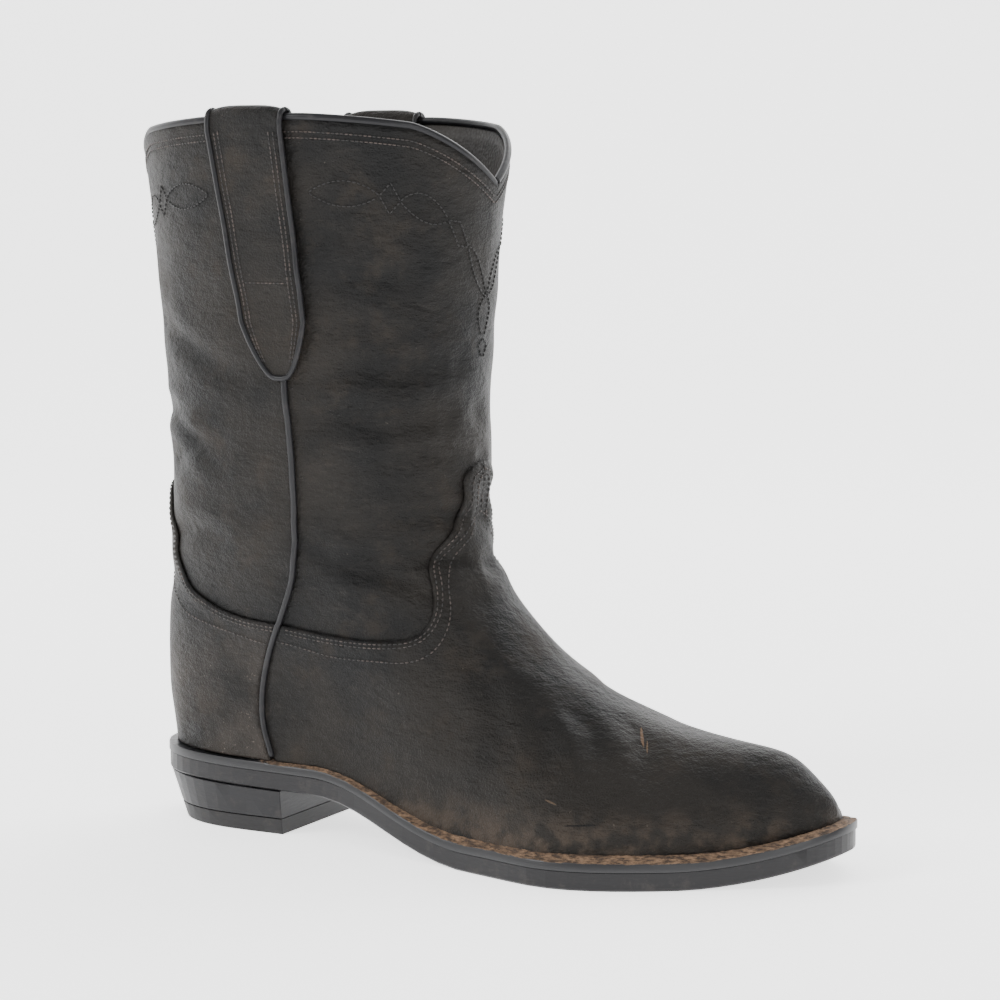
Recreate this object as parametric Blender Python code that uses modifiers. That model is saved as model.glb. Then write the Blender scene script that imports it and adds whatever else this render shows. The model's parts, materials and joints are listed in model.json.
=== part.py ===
"""A right roper boot, standing on its sole with the toe towards +X and the outer side towards -Y.

The origin is on the floor under the middle of the heel. Lengths are in metres.
"""

import math
from collections import namedtuple

import bmesh
import bpy
import numpy as np

# Main sizes of the boot
SOLE_LENGTH = 0.298  # heel's back to toe, along the sole's edge
BALL_WIDTH = 0.112  # across the sole at the ball of the foot
BOOT_HEIGHT = 0.287  # floor to the sides of the collar
INSTEP_HEIGHT = 0.117  # floor to where the instep turns into the shaft
COLLAR_DEPTH = 0.1553  # front to back outside the collar
COLLAR_WIDTH = 0.111  # side to side outside the collar
HEEL_BLOCK_HEIGHT = 0.0182  # floor to the underside of the outsole at the heel
SEAT_RISE = 0.0022  # how much higher the heel's back is than its breast
HEEL_LENGTH = 0.067  # heel's back to its breast
TOE_SPRING = 0.0109  # floor to the underside of the outsole at the toe

# Layers and walls
WALL = 0.0022  # leather and lining of the upper
OVERLAY = 0.0014  # leather of the vamp and counter
OUTSOLE_THICKNESS = 0.0072
WELT_THICKNESS = 0.0034
WELT_WIDTH = 0.014
INSOLE_THICKNESS = 0.0032
TOP_LIFT_THICKNESS = 0.0064
GAP = 0.0003  # between pieces that meet
LIFTED_GAP = 0.00045  # under a piece whose facets differ from the wall's
INSOLE_MIN_HALF = 0.002  # half width of the insole's blunt ends
INSOLE_SIDE_GAP = 0.0014  # between the insole and the wall that leans in over it
EDGE_CHAMFER = 0.0008
PIPING_RADIUS = 0.0011
SEAM_CHANNEL = 0.0036  # room between vamp and counter for the piping
PIPING_FOOT = 0.002  # how far over the welt the piping starts
BEAD_RADIUS = 0.0013

# Insets from the sole's edge to the upper's lower edge
HEEL_LEDGE = 0.0034
BALL_LEDGE = 0.0064
WELT_STEP = 0.0005  # how far the outsole's edge lies behind the welt's

# Heel block
HEEL_FLARE = 0.0014  # how far the seat's edge stands out at the back
HEEL_BACK_SLOPE = 0.0082  # how far the heel draws in at the back, seat to floor
HEEL_SIDE_SLOPE = 0.0022
HEEL_FLARE_END = 0.12  # where the flare has run out, as a share of the sole's length

# Pull straps
STRAP_WIDTH = 0.033
STRAP_THICKNESS = 0.0022
STRAP_POINT = 0.022  # length of the pointed end
STRAP_BLUNTNESS = 0.12  # width of the tip, as a share of the strap's
STRAP_TAPER = 0.24  # how much of its width the strap loses down to the point
STRAP_RISE = 0.0062  # top of the fold above the collar
STRAP_INSIDE_DROP = 0.040  # how far the strap reaches down inside the shaft
STRAP_TIP_HEIGHT = 0.1875
STRAP_TIP_GAP = 0.004  # from the strap's tip down to the piping's end
STRAP_TOP_ALONG = 0.0685  # middle of the strap at the collar, from the heel's back
STRAP_TIP_ALONG = 0.0808
STRAP_LIFT_OFF = 0.004  # how far under the collar's edge the strap leaves the wall
STRAP_BOW = 0.0012  # how far the fold bows out over the bead

# Places along the sole, as shares of its length
SEAT_END = 0.275  # the raised seat ends and the shank starts to fall
SHANK_END = 0.544  # the shank reaches the floor's level
SPRING_START = 0.825  # the toe starts to rise
SHAFT_MIDDLE = 0.243  # middle of the collar
LEDGE_FROM = 0.2  # the ledge starts to widen from the heel's to the ball's
LEDGE_TO = 0.6

# Powers of the curves of the sole's underside
SEAT_CURVE = 1.5
SPRING_CURVE = 1.8

AROUND = 24  # cells from back to front on each side of the upper
UP = 20  # cells from the sole to the collar
SOLE_STATIONS = 52
HEEL_STATIONS = 15

# The dome of the foot: higher is fuller
DOME_TOP = 1.45
DOME_SIDE = 1.95
DOME_MIN_HEIGHT = 0.001
SIDE_BULGE = 0.0022  # how far the foot stands out over its lower edge
BULGE_TOP = 0.65  # share of the dome's height where the bulge ends
STRAIGHTENING = 0.25  # how much of the sole's curve the top of the foot loses
SOLE_FOLLOWED_TO = 0.5  # level up to which the rings follow the sole's curve
FULL_INSET_HALF = 0.24  # half width of the sole, as a share of the ball's, that takes a full inset

Outline = namedtuple("Outline", "along half shift")
# Half widths and shifts to the inner side are shares of the ball width.
SOLE_OUTLINE = [
    Outline(0.000, 0.000, 0.000),
    Outline(0.022, 0.160, 0.000),
    Outline(0.065, 0.243, 0.000),
    Outline(0.135, 0.284, 0.000),
    Outline(0.218, 0.283, -0.005),
    Outline(0.282, 0.272, -0.024),
    Outline(0.350, 0.281, -0.050),
    Outline(0.430, 0.325, -0.070),
    Outline(0.513, 0.386, -0.063),
    Outline(0.597, 0.454, -0.052),
    Outline(0.665, 0.497, -0.048),
    Outline(0.730, 0.497, -0.022),
    Outline(0.795, 0.454, 0.016),
    Outline(0.862, 0.374, 0.048),
    Outline(0.923, 0.286, 0.064),
    Outline(0.970, 0.188, 0.072),
    Outline(1.000, 0.000, 0.074),
]

Foot = namedtuple("Foot", "level front front_rise back back_rise width shaft_like")
# Rings of the foot, from the sole to the ankle. Front and back are shares of the sole's length,
# rises are shares of the instep height above the sole's own curve, and widths of the collar's.
FOOT_SECTIONS = [
    Foot(0.00, 0.9760, 0.005, 0.0120, 0.005, 0.342, 0.00),
    Foot(0.06, 0.9725, 0.105, 0.0075, 0.134, 0.347, 0.00),
    Foot(0.12, 0.9430, 0.222, 0.0020, 0.260, 0.351, 0.00),
    Foot(0.20, 0.9050, 0.327, -0.0005, 0.396, 0.356, 0.04),
    Foot(0.28, 0.8450, 0.379, -0.0015, 0.525, 0.360, 0.12),
    Foot(0.36, 0.7570, 0.436, -0.0002, 0.646, 0.369, 0.26),
    Foot(0.44, 0.6460, 0.562, 0.0055, 0.768, 0.378, 0.45),
    Foot(0.52, 0.5460, 0.765, 0.0130, 0.897, 0.387, 0.66),
    Foot(0.60, 0.4790, 1.000, 0.0130, 1.060, 0.401, 0.84),
]

Shaft = namedtuple("Shaft", "level depth lean front_rise back_rise width shaft_like")
# Rings of the shaft, from the ankle to the collar. Depth is a share of the collar's, lean of the
# sole's length, rises are shares of the way from the instep to the collar.
SHAFT_SECTIONS = [
    Shaft(0.68, 0.894, 0.0030, 0.176, 0.182, 0.416, 0.95),
    Shaft(0.76, 0.888, 0.0010, 0.371, 0.359, 0.437, 1.00),
    Shaft(0.84, 0.911, 0.0000, 0.576, 0.565, 0.455, 1.00),
    Shaft(0.92, 0.946, -0.0010, 0.788, 0.782, 0.477, 1.00),
    Shaft(1.00, 1.000, -0.0010, 1.000, 1.000, 0.500, 1.00),
]
SHAFT_SQUARENESS = 2.13

Dip = namedtuple("Dip", "end depth reach power")
# Scallops of the collar: end 1 is the front and 0 the back, depths are in metres and the reach
# is the share of the way from that end to the other.
COLLAR_DIPS = [
    Dip(1, 0.0155, 0.22, 1.3),
    Dip(1, 0.0100, 0.42, 1.4),
    Dip(0, 0.0155, 0.22, 1.3),
    Dip(0, 0.0100, 0.50, 1.4),
]
DIP_START = 0.6  # level where the rings start to follow the collar's dips
OVERLAY_TOP = 0.8  # level that the vamp's and counter's peaks stay under

Mark = namedtuple("Mark", "along rise")
# Lines seen from the side. Along is a share of the sole's length, rise of the instep height.
SIDE_SEAM = [
    Mark(0.212, 0.12),
    Mark(0.211, 0.27),
    Mark(0.200, 0.36),
    Mark(0.196, 0.46),
    Mark(0.204, 0.58),
    Mark(0.225, 0.70),
    Mark(0.248, 0.81),
    Mark(0.265, 0.92),
    Mark(0.276, 1.12),
    Mark(0.278, 1.39),
    Mark(0.274, 1.62),
]
VAMP_LINE = [
    Mark(0.235, 0.750),
    Mark(0.311, 0.729),
    Mark(0.370, 0.722),
    Mark(0.417, 0.726),
    Mark(0.446, 0.746),
    Mark(0.460, 0.790),
    Mark(0.461, 0.850),
    Mark(0.454, 0.915),
    Mark(0.449, 0.976),
    Mark(0.458, 1.040),
    Mark(0.468, 1.111),
    Mark(0.475, 1.190),
    Mark(0.480, 1.283),
    Mark(0.484, 1.306),
    Mark(0.490, 1.335),
    Mark(0.520, 1.345),
]
COUNTER_LINE = [
    Mark(0.235, 0.750),
    Mark(0.189, 0.757),
    Mark(0.143, 0.776),
    Mark(0.101, 0.812),
    Mark(0.074, 0.850),
    Mark(0.059, 0.910),
    Mark(0.048, 0.990),
    Mark(0.036, 1.080),
    Mark(0.028, 1.160),
    Mark(0.018, 1.200),
    Mark(-0.005, 1.225),
    Mark(-0.050, 1.235),
]

LEATHER = (0.035, 0.030, 0.027)
COUNTER_LEATHER = (0.085, 0.072, 0.062)
SMOOTH_EDGE = (0.018, 0.018, 0.020)
WELT_LEATHER = (0.110, 0.065, 0.038)
RUBBER = (0.020, 0.019, 0.019)
BOARD = (0.300, 0.200, 0.120)


def spline(places, values):
    """Natural cubic spline through the values, as a function of place."""
    places = np.asarray(places, float)
    values = np.asarray(values, float)
    gaps = np.diff(places)
    slopes = np.diff(values) / gaps
    count = len(places)
    system = np.eye(count)
    right = np.zeros(count)
    for i in range(1, count - 1):
        system[i, i - 1 : i + 2] = gaps[i - 1], 2 * (gaps[i - 1] + gaps[i]), gaps[i]
        right[i] = 6 * (slopes[i] - slopes[i - 1])
    bends = np.linalg.solve(system, right)

    def value(place):
        place = np.clip(place, places[0], places[-1])
        i = np.clip(np.searchsorted(places, place, side="right") - 1, 0, count - 2)
        before = (places[i + 1] - place) / gaps[i]
        after = (place - places[i]) / gaps[i]
        curved = (before**3 - before) * bends[i] + (after**3 - after) * bends[i + 1]
        return before * values[i] + after * values[i + 1] + curved * gaps[i] ** 2 / 6

    return value


def ease(share):
    """0 below 0, 1 above 1, and smooth between."""
    share = np.clip(share, 0, 1)
    return share * share * (3 - 2 * share)


def turn_of(along):
    """Angle that goes from 0 at the heel's back to pi at the toe, for round ends."""
    return np.arccos(np.clip(1 - 2 * along, -1, 1))


outline_half = spline(
    [turn_of(row.along) for row in SOLE_OUTLINE],
    [row.half * BALL_WIDTH for row in SOLE_OUTLINE],
)
outline_shift = spline(
    [turn_of(row.along) for row in SOLE_OUTLINE],
    [row.shift * BALL_WIDTH for row in SOLE_OUTLINE],
)


def sole_half(along):
    return np.maximum(outline_half(turn_of(along)), 0)


def sole_shift(along):
    return outline_shift(turn_of(along))


def inset_share(half):
    """How much of an inset applies where the sole is this wide: less at the pointed ends."""
    return np.clip(half / (FULL_INSET_HALF * BALL_WIDTH), 0, 1)


def underside(along):
    """Height of the outsole's underside at this share of the length."""
    heel = HEEL_BLOCK_HEIGHT * ease((SHANK_END - along) / (SHANK_END - SEAT_END))
    heel = heel + SEAT_RISE * np.clip(1 - along / SEAT_END, 0, None) ** SEAT_CURVE
    past = np.clip((along - SPRING_START) / (1 - SPRING_START), 0, None)
    return heel + TOE_SPRING * past**SPRING_CURVE


SOLE_STACK = OUTSOLE_THICKNESS + WELT_THICKNESS + 2 * GAP


def sole_top(along):
    return underside(along) + SOLE_STACK


def section_columns():
    """The two tables of rings as one list, in metres.

    Its columns are level, front, front rise, back, back rise, width and shaft_like.
    """
    rows = []
    for row in FOOT_SECTIONS:
        rows.append(
            (
                row.level,
                row.front * SOLE_LENGTH,
                row.front_rise * INSTEP_HEIGHT,
                row.back * SOLE_LENGTH,
                row.back_rise * INSTEP_HEIGHT,
                row.width * COLLAR_WIDTH,
                row.shaft_like,
            )
        )
    shaft_height = BOOT_HEIGHT - INSTEP_HEIGHT
    for row in SHAFT_SECTIONS:
        middle = (SHAFT_MIDDLE + row.lean) * SOLE_LENGTH
        half = row.depth * COLLAR_DEPTH / 2
        rows.append(
            (
                row.level,
                middle + half,
                INSTEP_HEIGHT + row.front_rise * shaft_height,
                middle - half,
                INSTEP_HEIGHT + row.back_rise * shaft_height,
                row.width * COLLAR_WIDTH,
                row.shaft_like,
            )
        )
    return np.array(rows)


SECTIONS = section_columns()
front_at, front_rise_at, back_at, back_rise_at, width_at, shaft_like_at = (
    spline(SECTIONS[:, 0], SECTIONS[:, column]) for column in range(1, 7)
)


def sole_share(level):
    """How much a ring at this level still follows the sole's curve."""
    return np.clip(1 - level / SOLE_FOLLOWED_TO, 0, 1) ** 1.5


def front_height(level):
    return front_rise_at(level) + sole_share(level) * sole_top(front_at(level) / SOLE_LENGTH)


ANKLE_LEVEL = 0.6  # where the foot's front line turns into the shaft's
RIDGE_LEVELS = np.linspace(ANKLE_LEVEL, 0, 300)
RIDGE_ALONG = np.maximum.accumulate(front_at(RIDGE_LEVELS))
RIDGE_HEIGHT = front_height(RIDGE_LEVELS)
RIDGE_SLOPE = 2.0  # how steeply the foot's front line is taken to rise on inside the shaft


def ridge_height(x):
    """Height of the foot's front line over this place, from the toe back, and on past the ankle."""
    past = np.clip(RIDGE_ALONG[0] - x, 0, None)
    return np.interp(x, RIDGE_ALONG, RIDGE_HEIGHT) + RIDGE_SLOPE * past


def upper_surface(turn, level, side):
    """A point of the upper's outer face, in x from the heel's back, y and z.

    turn goes from 0 at the back to 1 at the front, level from 0 at the sole to 1 at the collar,
    and side is -1 on the outer side and 1 on the inner side.
    """
    turn, level = np.broadcast_arrays(np.asarray(turn, float), np.asarray(level, float))
    share = (1 - np.cos(np.pi * turn)) / 2
    front, back = front_at(level), back_at(level)
    x = back + share * (front - back)
    rise = back_rise_at(level) + share * (front_rise_at(level) - back_rise_at(level))
    z = rise + sole_share(level) * sole_top(x / SOLE_LENGTH)
    for dip in COLLAR_DIPS:
        near = np.clip(1 - np.abs(dip.end - turn) / dip.reach, 0, 1)
        z = z - dip.depth * near**dip.power * ease((level - DIP_START) / (1 - DIP_START))

    feather_front, feather_back = np.maximum(front_at(0), front), back_at(0)
    along = (x - feather_back) / (feather_front - feather_back)
    overhang = (feather_back - back) / (feather_front - feather_back)
    along = np.clip(along + overhang * np.clip(1 - 2 * share, 0, 1) ** 2, 0, 1)
    edge = sole_half(along)
    ledge = HEEL_LEDGE + (BALL_LEDGE - HEEL_LEDGE) * ease((along - LEDGE_FROM) / (LEDGE_TO - LEDGE_FROM))
    inside = inset_share(edge)
    base = sole_top(x / SOLE_LENGTH)
    climb = np.clip((z - base) / np.maximum(ridge_height(x) - base, DOME_MIN_HEIGHT), 0, 1)
    dome = (1 - climb**DOME_TOP) ** (1 / DOME_SIDE)
    bulge = SIDE_BULGE * np.sin(np.pi * np.clip(climb / BULGE_TOP, 0, 1)) ** 2
    foot = (edge + (bulge - ledge) * inside) * dome

    round_off = np.clip(1 - np.abs(2 * share - 1) ** SHAFT_SQUARENESS, 0, 1)
    shaft = width_at(level) * round_off ** (1 / SHAFT_SQUARENESS)
    shaft_like = np.clip(shaft_like_at(level), 0, 1)
    half = foot * (1 - shaft_like) + shaft * shaft_like
    middle = sole_shift(along) * (1 - STRAIGHTENING * climb) * (1 - shaft_like)
    return np.stack([x, middle + side * half, z], -1)


def upper_normal(turn, level, side):
    """Outward direction of the upper's outer face at this place."""
    step = 0.002
    turn = np.clip(np.asarray(turn, float), step, 1 - step)
    level = np.asarray(level, float)
    low, high = np.clip(level - step, 0, 1), np.clip(level + step, 0, 1)
    forward = upper_surface(turn + step, level, side) - upper_surface(turn - step, level, side)
    upward = upper_surface(turn, high, side) - upper_surface(turn, low, side)
    normal = np.cross(forward, upward) * -side
    return normal / np.linalg.norm(normal, axis=-1, keepdims=True)


def upper_place(x, z, side):
    """Turn and level of the point of the upper that has this x and z, by halving."""
    x, z = np.broadcast_arrays(np.asarray(x, float), np.asarray(z, float))
    low, high = np.zeros_like(x), np.ones_like(x)
    for _ in range(40):
        level = (low + high) / 2
        share = np.clip((x - back_at(level)) / (front_at(level) - back_at(level)), 0, 1)
        turn = np.arccos(1 - 2 * share) / np.pi
        above = upper_surface(turn, level, side)[..., 2] > z
        high = np.where(above, level, high)
        low = np.where(above, low, level)
    return turn, (low + high) / 2


def on_upper(x, z, side, out):
    """The point at this x and z on one side of the upper, moved outwards by out."""
    turn, level = upper_place(x, z, side)
    return upper_surface(turn, level, side) + out * upper_normal(turn, level, side)


def upper_ring(level, out=0.0):
    """One closed ring of the upper: outer side from back to front, then the inner side back."""
    turns = np.linspace(0, 1, AROUND + 1)
    outer = upper_surface(turns, level, -1)
    inner = upper_surface(turns[-2:0:-1], level, 1)
    if out:
        outer = outer + out * upper_normal(turns, level, -1)
        inner = inner + out * upper_normal(turns[-2:0:-1], level, 1)
        outer[[0, -1], 1] = upper_surface(turns[[0, -1]], level, -1)[:, 1]
    return np.concatenate([outer, inner])


parts = bpy.data.collections.new("roper_boot")
cutters = bpy.data.collections.new("cutters")


def material(name, colour, roughness, metallic=0.0):
    made = bpy.data.materials.new(name)
    made.use_nodes = True
    shader = made.node_tree.nodes["Principled BSDF"]
    shader.inputs["Base Color"].default_value = (*colour, 1.0)
    shader.inputs["Roughness"].default_value = roughness
    shader.inputs["Metallic"].default_value = metallic
    return made


def to_frame(point):
    """From x measured off the heel's back to the frame's origin under the heel's middle."""
    return (point[0] - HEEL_LENGTH / 2, point[1], point[2])


def loft(name, rings, finish, ring_closed=True, run_closed=False, ends=True, home=None):
    """A mesh through rings of points: each ring may close on itself, and so may their run."""
    mesh_maker = bmesh.new()
    rows = [[mesh_maker.verts.new(to_frame(point)) for point in ring] for ring in rings]
    pairs = list(zip(rows, rows[1:]))
    if run_closed:
        pairs.append((rows[-1], rows[0]))
    for first, second in pairs:
        count = len(first)
        for i in range(count if ring_closed else count - 1):
            j = (i + 1) % count
            mesh_maker.faces.new((first[i], first[j], second[j], second[i]))
    if ends and not run_closed:
        mesh_maker.faces.new(rows[0][::-1])
        mesh_maker.faces.new(rows[-1])
    if ring_closed and (ends or run_closed):
        bmesh.ops.recalc_face_normals(mesh_maker, faces=mesh_maker.faces)
    bmesh.ops.triangulate(mesh_maker, faces=mesh_maker.faces, quad_method="FIXED")
    mesh = bpy.data.meshes.new(name)
    mesh_maker.to_mesh(mesh)
    mesh_maker.free()
    mesh.shade_smooth()
    mesh.set_sharp_from_angle(angle=math.radians(40))
    made = bpy.data.objects.new(name, mesh)
    if finish:
        mesh.materials.append(finish)
    (home or parts).objects.link(made)
    return made


def solidify(made, thickness, offset):
    wall = made.modifiers.new("wall", "SOLIDIFY")
    wall.thickness = thickness
    wall.offset = offset
    return wall


def clear_scene():
    for old in list(bpy.data.objects):
        bpy.data.objects.remove(old, do_unlink=True)
    bpy.context.scene.collection.children.link(parts)
    bpy.context.scene.collection.children.link(cutters)


def make_upper():
    """The hollow upper: one wall from the sole to the collar, open at both."""
    rings = [upper_ring(level) for level in np.linspace(0, 1, UP + 1)]
    finish = material("upper_leather", LEATHER, 0.62)
    upper = loft("upper", rings, finish, ends=False)
    solidify(upper, WALL, -1)
    return upper


def side_profile(marks):
    """The marks of a line as x and z."""
    return [(mark.along * SOLE_LENGTH, mark.rise * INSTEP_HEIGHT) for mark in marks]


def seam_x(z):
    """Where the side seam stands at this height."""
    places = side_profile(SIDE_SEAM)
    return spline([place[1] for place in places], [place[0] for place in places])(z)


def smooth_line(places, per_span=4):
    """A smooth run through the places, by the distance along them."""
    places = np.asarray(places, float)
    travelled = np.concatenate([[0], np.cumsum(np.linalg.norm(np.diff(places, axis=0), axis=1))])
    across = [spline(travelled, places[:, column]) for column in range(places.shape[1])]
    steps = np.linspace(0, travelled[-1], per_span * (len(places) - 1) + 1)
    return np.stack([column(steps) for column in across], -1)


def make_overlay(name, top_line, forward, colour):
    """Leather laid over the foot: a shell off the upper's own rings, cut to its line by a prism."""
    levels = np.linspace(0, 1, UP + 1)
    rings = [upper_ring(level, out=GAP) for level in levels[levels <= OVERLAY_TOP]]
    overlay = loft(name, rings, material(name + "_leather", colour, 0.62), ends=False)
    solidify(overlay, OVERLAY, 1)

    margin, below = 0.03, -0.01
    line = smooth_line(side_profile(top_line))
    seam_heights = np.linspace(line[0][1], below, 9)
    seam = [(seam_x(z) + forward * SEAM_CHANNEL / 2, z) for z in seam_heights]
    line = [place for place in line if forward * (place[0] - seam[0][0]) > GAP]
    far = SOLE_LENGTH + margin if forward > 0 else -margin
    outline = [*seam[::-1], *line, (far, line[-1][1]), (far, below)]
    rings = [[(x, y, z) for x, z in outline] for y in (-BALL_WIDTH, BALL_WIDTH)]
    cutter = loft(name + "_cutter", rings, None, home=cutters)
    cutter.hide_render = True
    cutter.display_type = "WIRE"
    cut = overlay.modifiers.new("cut", "BOOLEAN")
    cut.operation = "INTERSECT"
    cut.object = cutter
    return overlay


def make_piping(name, side):
    """Smooth cord sewn in the side seam, from the sole to the strap's tip."""
    foot = sole_top(SIDE_SEAM[0].along) + PIPING_FOOT
    heights = np.linspace(foot, STRAP_TIP_HEIGHT - STRAP_TIP_GAP, 18)
    route = [on_upper(seam_x(z), z, side, LIFTED_GAP + PIPING_RADIUS) for z in heights]
    curve = bpy.data.curves.new(name, "CURVE")
    curve.dimensions = "3D"
    curve.bevel_depth = PIPING_RADIUS
    curve.bevel_resolution = 1
    curve.use_fill_caps = True
    line = curve.splines.new("POLY")
    line.points.add(len(route) - 1)
    for point, place in zip(line.points, route):
        point.co = (*to_frame(place), 1)
    curve.materials.append(material(name + "_finish", SMOOTH_EDGE, 0.35))
    made = bpy.data.objects.new(name, curve)
    parts.objects.link(made)


def make_binding():
    """The bead that folds over the collar's edge, as a ring of round sections on the wall's top."""
    edge = upper_ring(1.0)
    inner = upper_ring(1.0, out=-WALL)
    middle = (edge + inner) / 2
    outward = edge - inner
    outward /= np.linalg.norm(outward, axis=1)[:, None]
    angles = np.linspace(0, 2 * math.pi, 6, endpoint=False) + math.pi / 6
    rings = []
    for place, out in zip(middle, outward):
        ring = []
        for angle in angles:
            lift = BEAD_RADIUS * (math.sin(angle) + math.sin(math.pi / 3)) + GAP
            ring.append(place + out * BEAD_RADIUS * math.cos(angle) + np.array([0, 0, lift]))
        rings.append(ring)
    loft("top_binding", rings, material("binding", SMOOTH_EDGE, 0.40), run_closed=True)


def strap_row(middle, half, z, side, out):
    """One row across the strap, on the upper and moved outwards by out."""
    return on_upper(middle + np.linspace(-half, half, 7), z, side, out)


def strap_heights():
    """Heights of the strap's rows outside, from its tip to where it leaves the wall."""
    point = STRAP_TIP_HEIGHT + STRAP_POINT * np.array([0, 0.18, 0.5, 1])
    straight = STRAP_TIP_HEIGHT + 1.5 * STRAP_POINT
    return np.concatenate([point, np.linspace(straight, BOOT_HEIGHT - 2.5 * STRAP_LIFT_OFF, 8)])


def make_pull_strap(name, side):
    """A strap folded over the collar: up the outside from its tip, over the bead, down inside."""
    wide = STRAP_WIDTH / 2
    inner_wall = -WALL - LIFTED_GAP
    rows = []
    for z in strap_heights():
        share = (z - STRAP_TIP_HEIGHT) / (BOOT_HEIGHT - STRAP_TIP_HEIGHT)
        middle = STRAP_TIP_ALONG + (STRAP_TOP_ALONG - STRAP_TIP_ALONG) * share
        rounding = math.sqrt(np.clip((z - STRAP_TIP_HEIGHT) / STRAP_POINT, 0, 1))
        body = (1 - STRAP_TAPER - STRAP_BLUNTNESS) * rounding
        half = wide * (STRAP_BLUNTNESS + body + STRAP_TAPER * share)
        rows.append(strap_row(middle, half, z, side, LIFTED_GAP))

    edge = BOOT_HEIGHT - STRAP_LIFT_OFF
    near = strap_row(STRAP_TOP_ALONG, wide, edge, side, LIFTED_GAP)
    far = strap_row(STRAP_TOP_ALONG, wide, edge, side, inner_wall)
    fold_height = STRAP_LIFT_OFF + STRAP_RISE - STRAP_THICKNESS
    for angle in np.linspace(0, math.pi, 7):
        row = near + (far - near) * (1 - math.cos(angle)) / 2
        row[:, 1] += side * STRAP_BOW * math.cos(angle) * math.sin(angle)
        row[:, 2] += fold_height * math.sin(angle) ** 0.7
        rows.append(row)
    for drop in np.linspace(3 * STRAP_LIFT_OFF, STRAP_INSIDE_DROP, 5):
        rows.append(strap_row(STRAP_TOP_ALONG, wide, BOOT_HEIGHT - drop, side, inner_wall))
    finish = material(name + "_leather", LEATHER, 0.60)
    strap = loft(name, rows, finish, ring_closed=False, ends=False)
    solidify(strap, STRAP_THICKNESS, 1 if side < 0 else -1)


def heel_flare(along):
    """How far the seat's layers stand out at the back of the heel."""
    return HEEL_FLARE * float(ease(1 - along / HEEL_FLARE_END))


def make_outsole():
    """The outsole: the sole's outline at each place along it, with its lower edges cut off."""
    rings = []
    for turn in np.linspace(0, math.pi, SOLE_STATIONS + 1):
        along = (1 - math.cos(turn)) / 2
        inset = WELT_STEP - heel_flare(along)
        x = inset + (SOLE_LENGTH - 2 * inset) * along
        middle, half = float(sole_shift(along)), float(sole_half(along))
        half = max(half - inset * float(inset_share(half)), EDGE_CHAMFER * 1.5)
        bottom = float(underside(along))
        cut, over = min(EDGE_CHAMFER, half / 3), bottom + OUTSOLE_THICKNESS
        rings.append(
            [
                (x, middle - half, over),
                (x, middle - half, bottom + cut),
                (x, middle - half + cut, bottom),
                (x, middle + half - cut, bottom),
                (x, middle + half, bottom + cut),
                (x, middle + half, over),
            ]
        )
    loft("outsole", rings, material("outsole_rubber", RUBBER, 0.55))


def outline_point(turn, side, inset):
    """A point of the sole's outline, moved inwards across the edge by inset."""
    step = 0.01
    near, far = max(turn - step, 0), min(turn + step, math.pi)

    def at(angle):
        along = (1 - math.cos(angle)) / 2
        half = float(sole_half(along))
        return np.array([along * SOLE_LENGTH, float(sole_shift(along)) + side * half])

    run = at(far) - at(near)
    if turn < step:
        run = np.array([0.0, side])
    if turn > math.pi - step:
        run = np.array([0.0, -side])
    run /= np.linalg.norm(run)
    inward = np.array([run[1], -run[0]]) * side
    return at(turn) + inset * inward


def make_welt():
    """The strip between the upper and the outsole, all the way round."""
    turns = np.linspace(0, math.pi, SOLE_STATIONS + 1)
    round_trip = [(turn, -1) for turn in turns] + [(turn, 1) for turn in turns[-2:0:-1]]
    rings = []
    for turn, side in round_trip:
        outside = outline_point(turn, side, -heel_flare((1 - math.cos(turn)) / 2))
        inside = outline_point(turn, side, WELT_WIDTH)
        ring = []
        for place, upper_side in ((outside, 0), (outside, 1), (inside, 1), (inside, 0)):
            z = underside(place[0] / SOLE_LENGTH) + OUTSOLE_THICKNESS + GAP
            ring.append((place[0], place[1], z + upper_side * WELT_THICKNESS))
        rings.append(ring)
    loft("welt", rings, material("welt_leather", WELT_LEATHER, 0.80), run_closed=True)


def make_insole():
    """The board inside the upper, which rests on the welt: the upper's lowest ring, drawn in."""
    draw_in = -(WALL + INSOLE_SIDE_GAP)
    turns = np.linspace(0, 1, SOLE_STATIONS + 1)
    outer = upper_surface(turns, 0, -1) + draw_in * upper_normal(turns, 0, -1)
    inner = upper_surface(turns, 0, 1) + draw_in * upper_normal(turns, 0, 1)
    rings = []
    for one, other in zip(outer, inner):
        x, middle = (one[0] + other[0]) / 2, (one[1] + other[1]) / 2
        half = max((other[1] - one[1]) / 2, INSOLE_MIN_HALF)
        bottom = float(sole_top(x / SOLE_LENGTH)) + GAP
        over = bottom + INSOLE_THICKNESS
        corners = ((-half, over), (-half, bottom), (half, bottom), (half, over))
        rings.append([(x, middle + y, z) for y, z in corners])
    loft("insole", rings, material("insole_board", BOARD, 0.70))


def heel_ring(height_of):
    """The heel's outline at heights by along: round at the back and straight at the breast."""
    turns = np.linspace(float(turn_of(HEEL_LENGTH / SOLE_LENGTH)), 0, HEEL_STATIONS)
    places = []
    for side, way in ((-1, turns), (1, turns[-2::-1])):
        for turn in way:
            along = (1 - math.cos(turn)) / 2
            x, height = along * SOLE_LENGTH, height_of(along)
            edge = float(sole_half(along))
            drawn = 1 - height / float(underside(along))
            draw_in = float(inset_share(edge)) * (HEEL_SIDE_SLOPE * drawn + WELT_STEP)
            slope = HEEL_BACK_SLOPE * drawn + WELT_STEP - HEEL_FLARE
            x += slope * (1 - x / HEEL_LENGTH) ** 2
            places.append((x, float(sole_shift(along)) + side * (edge - draw_in), height))
    return places


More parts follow.
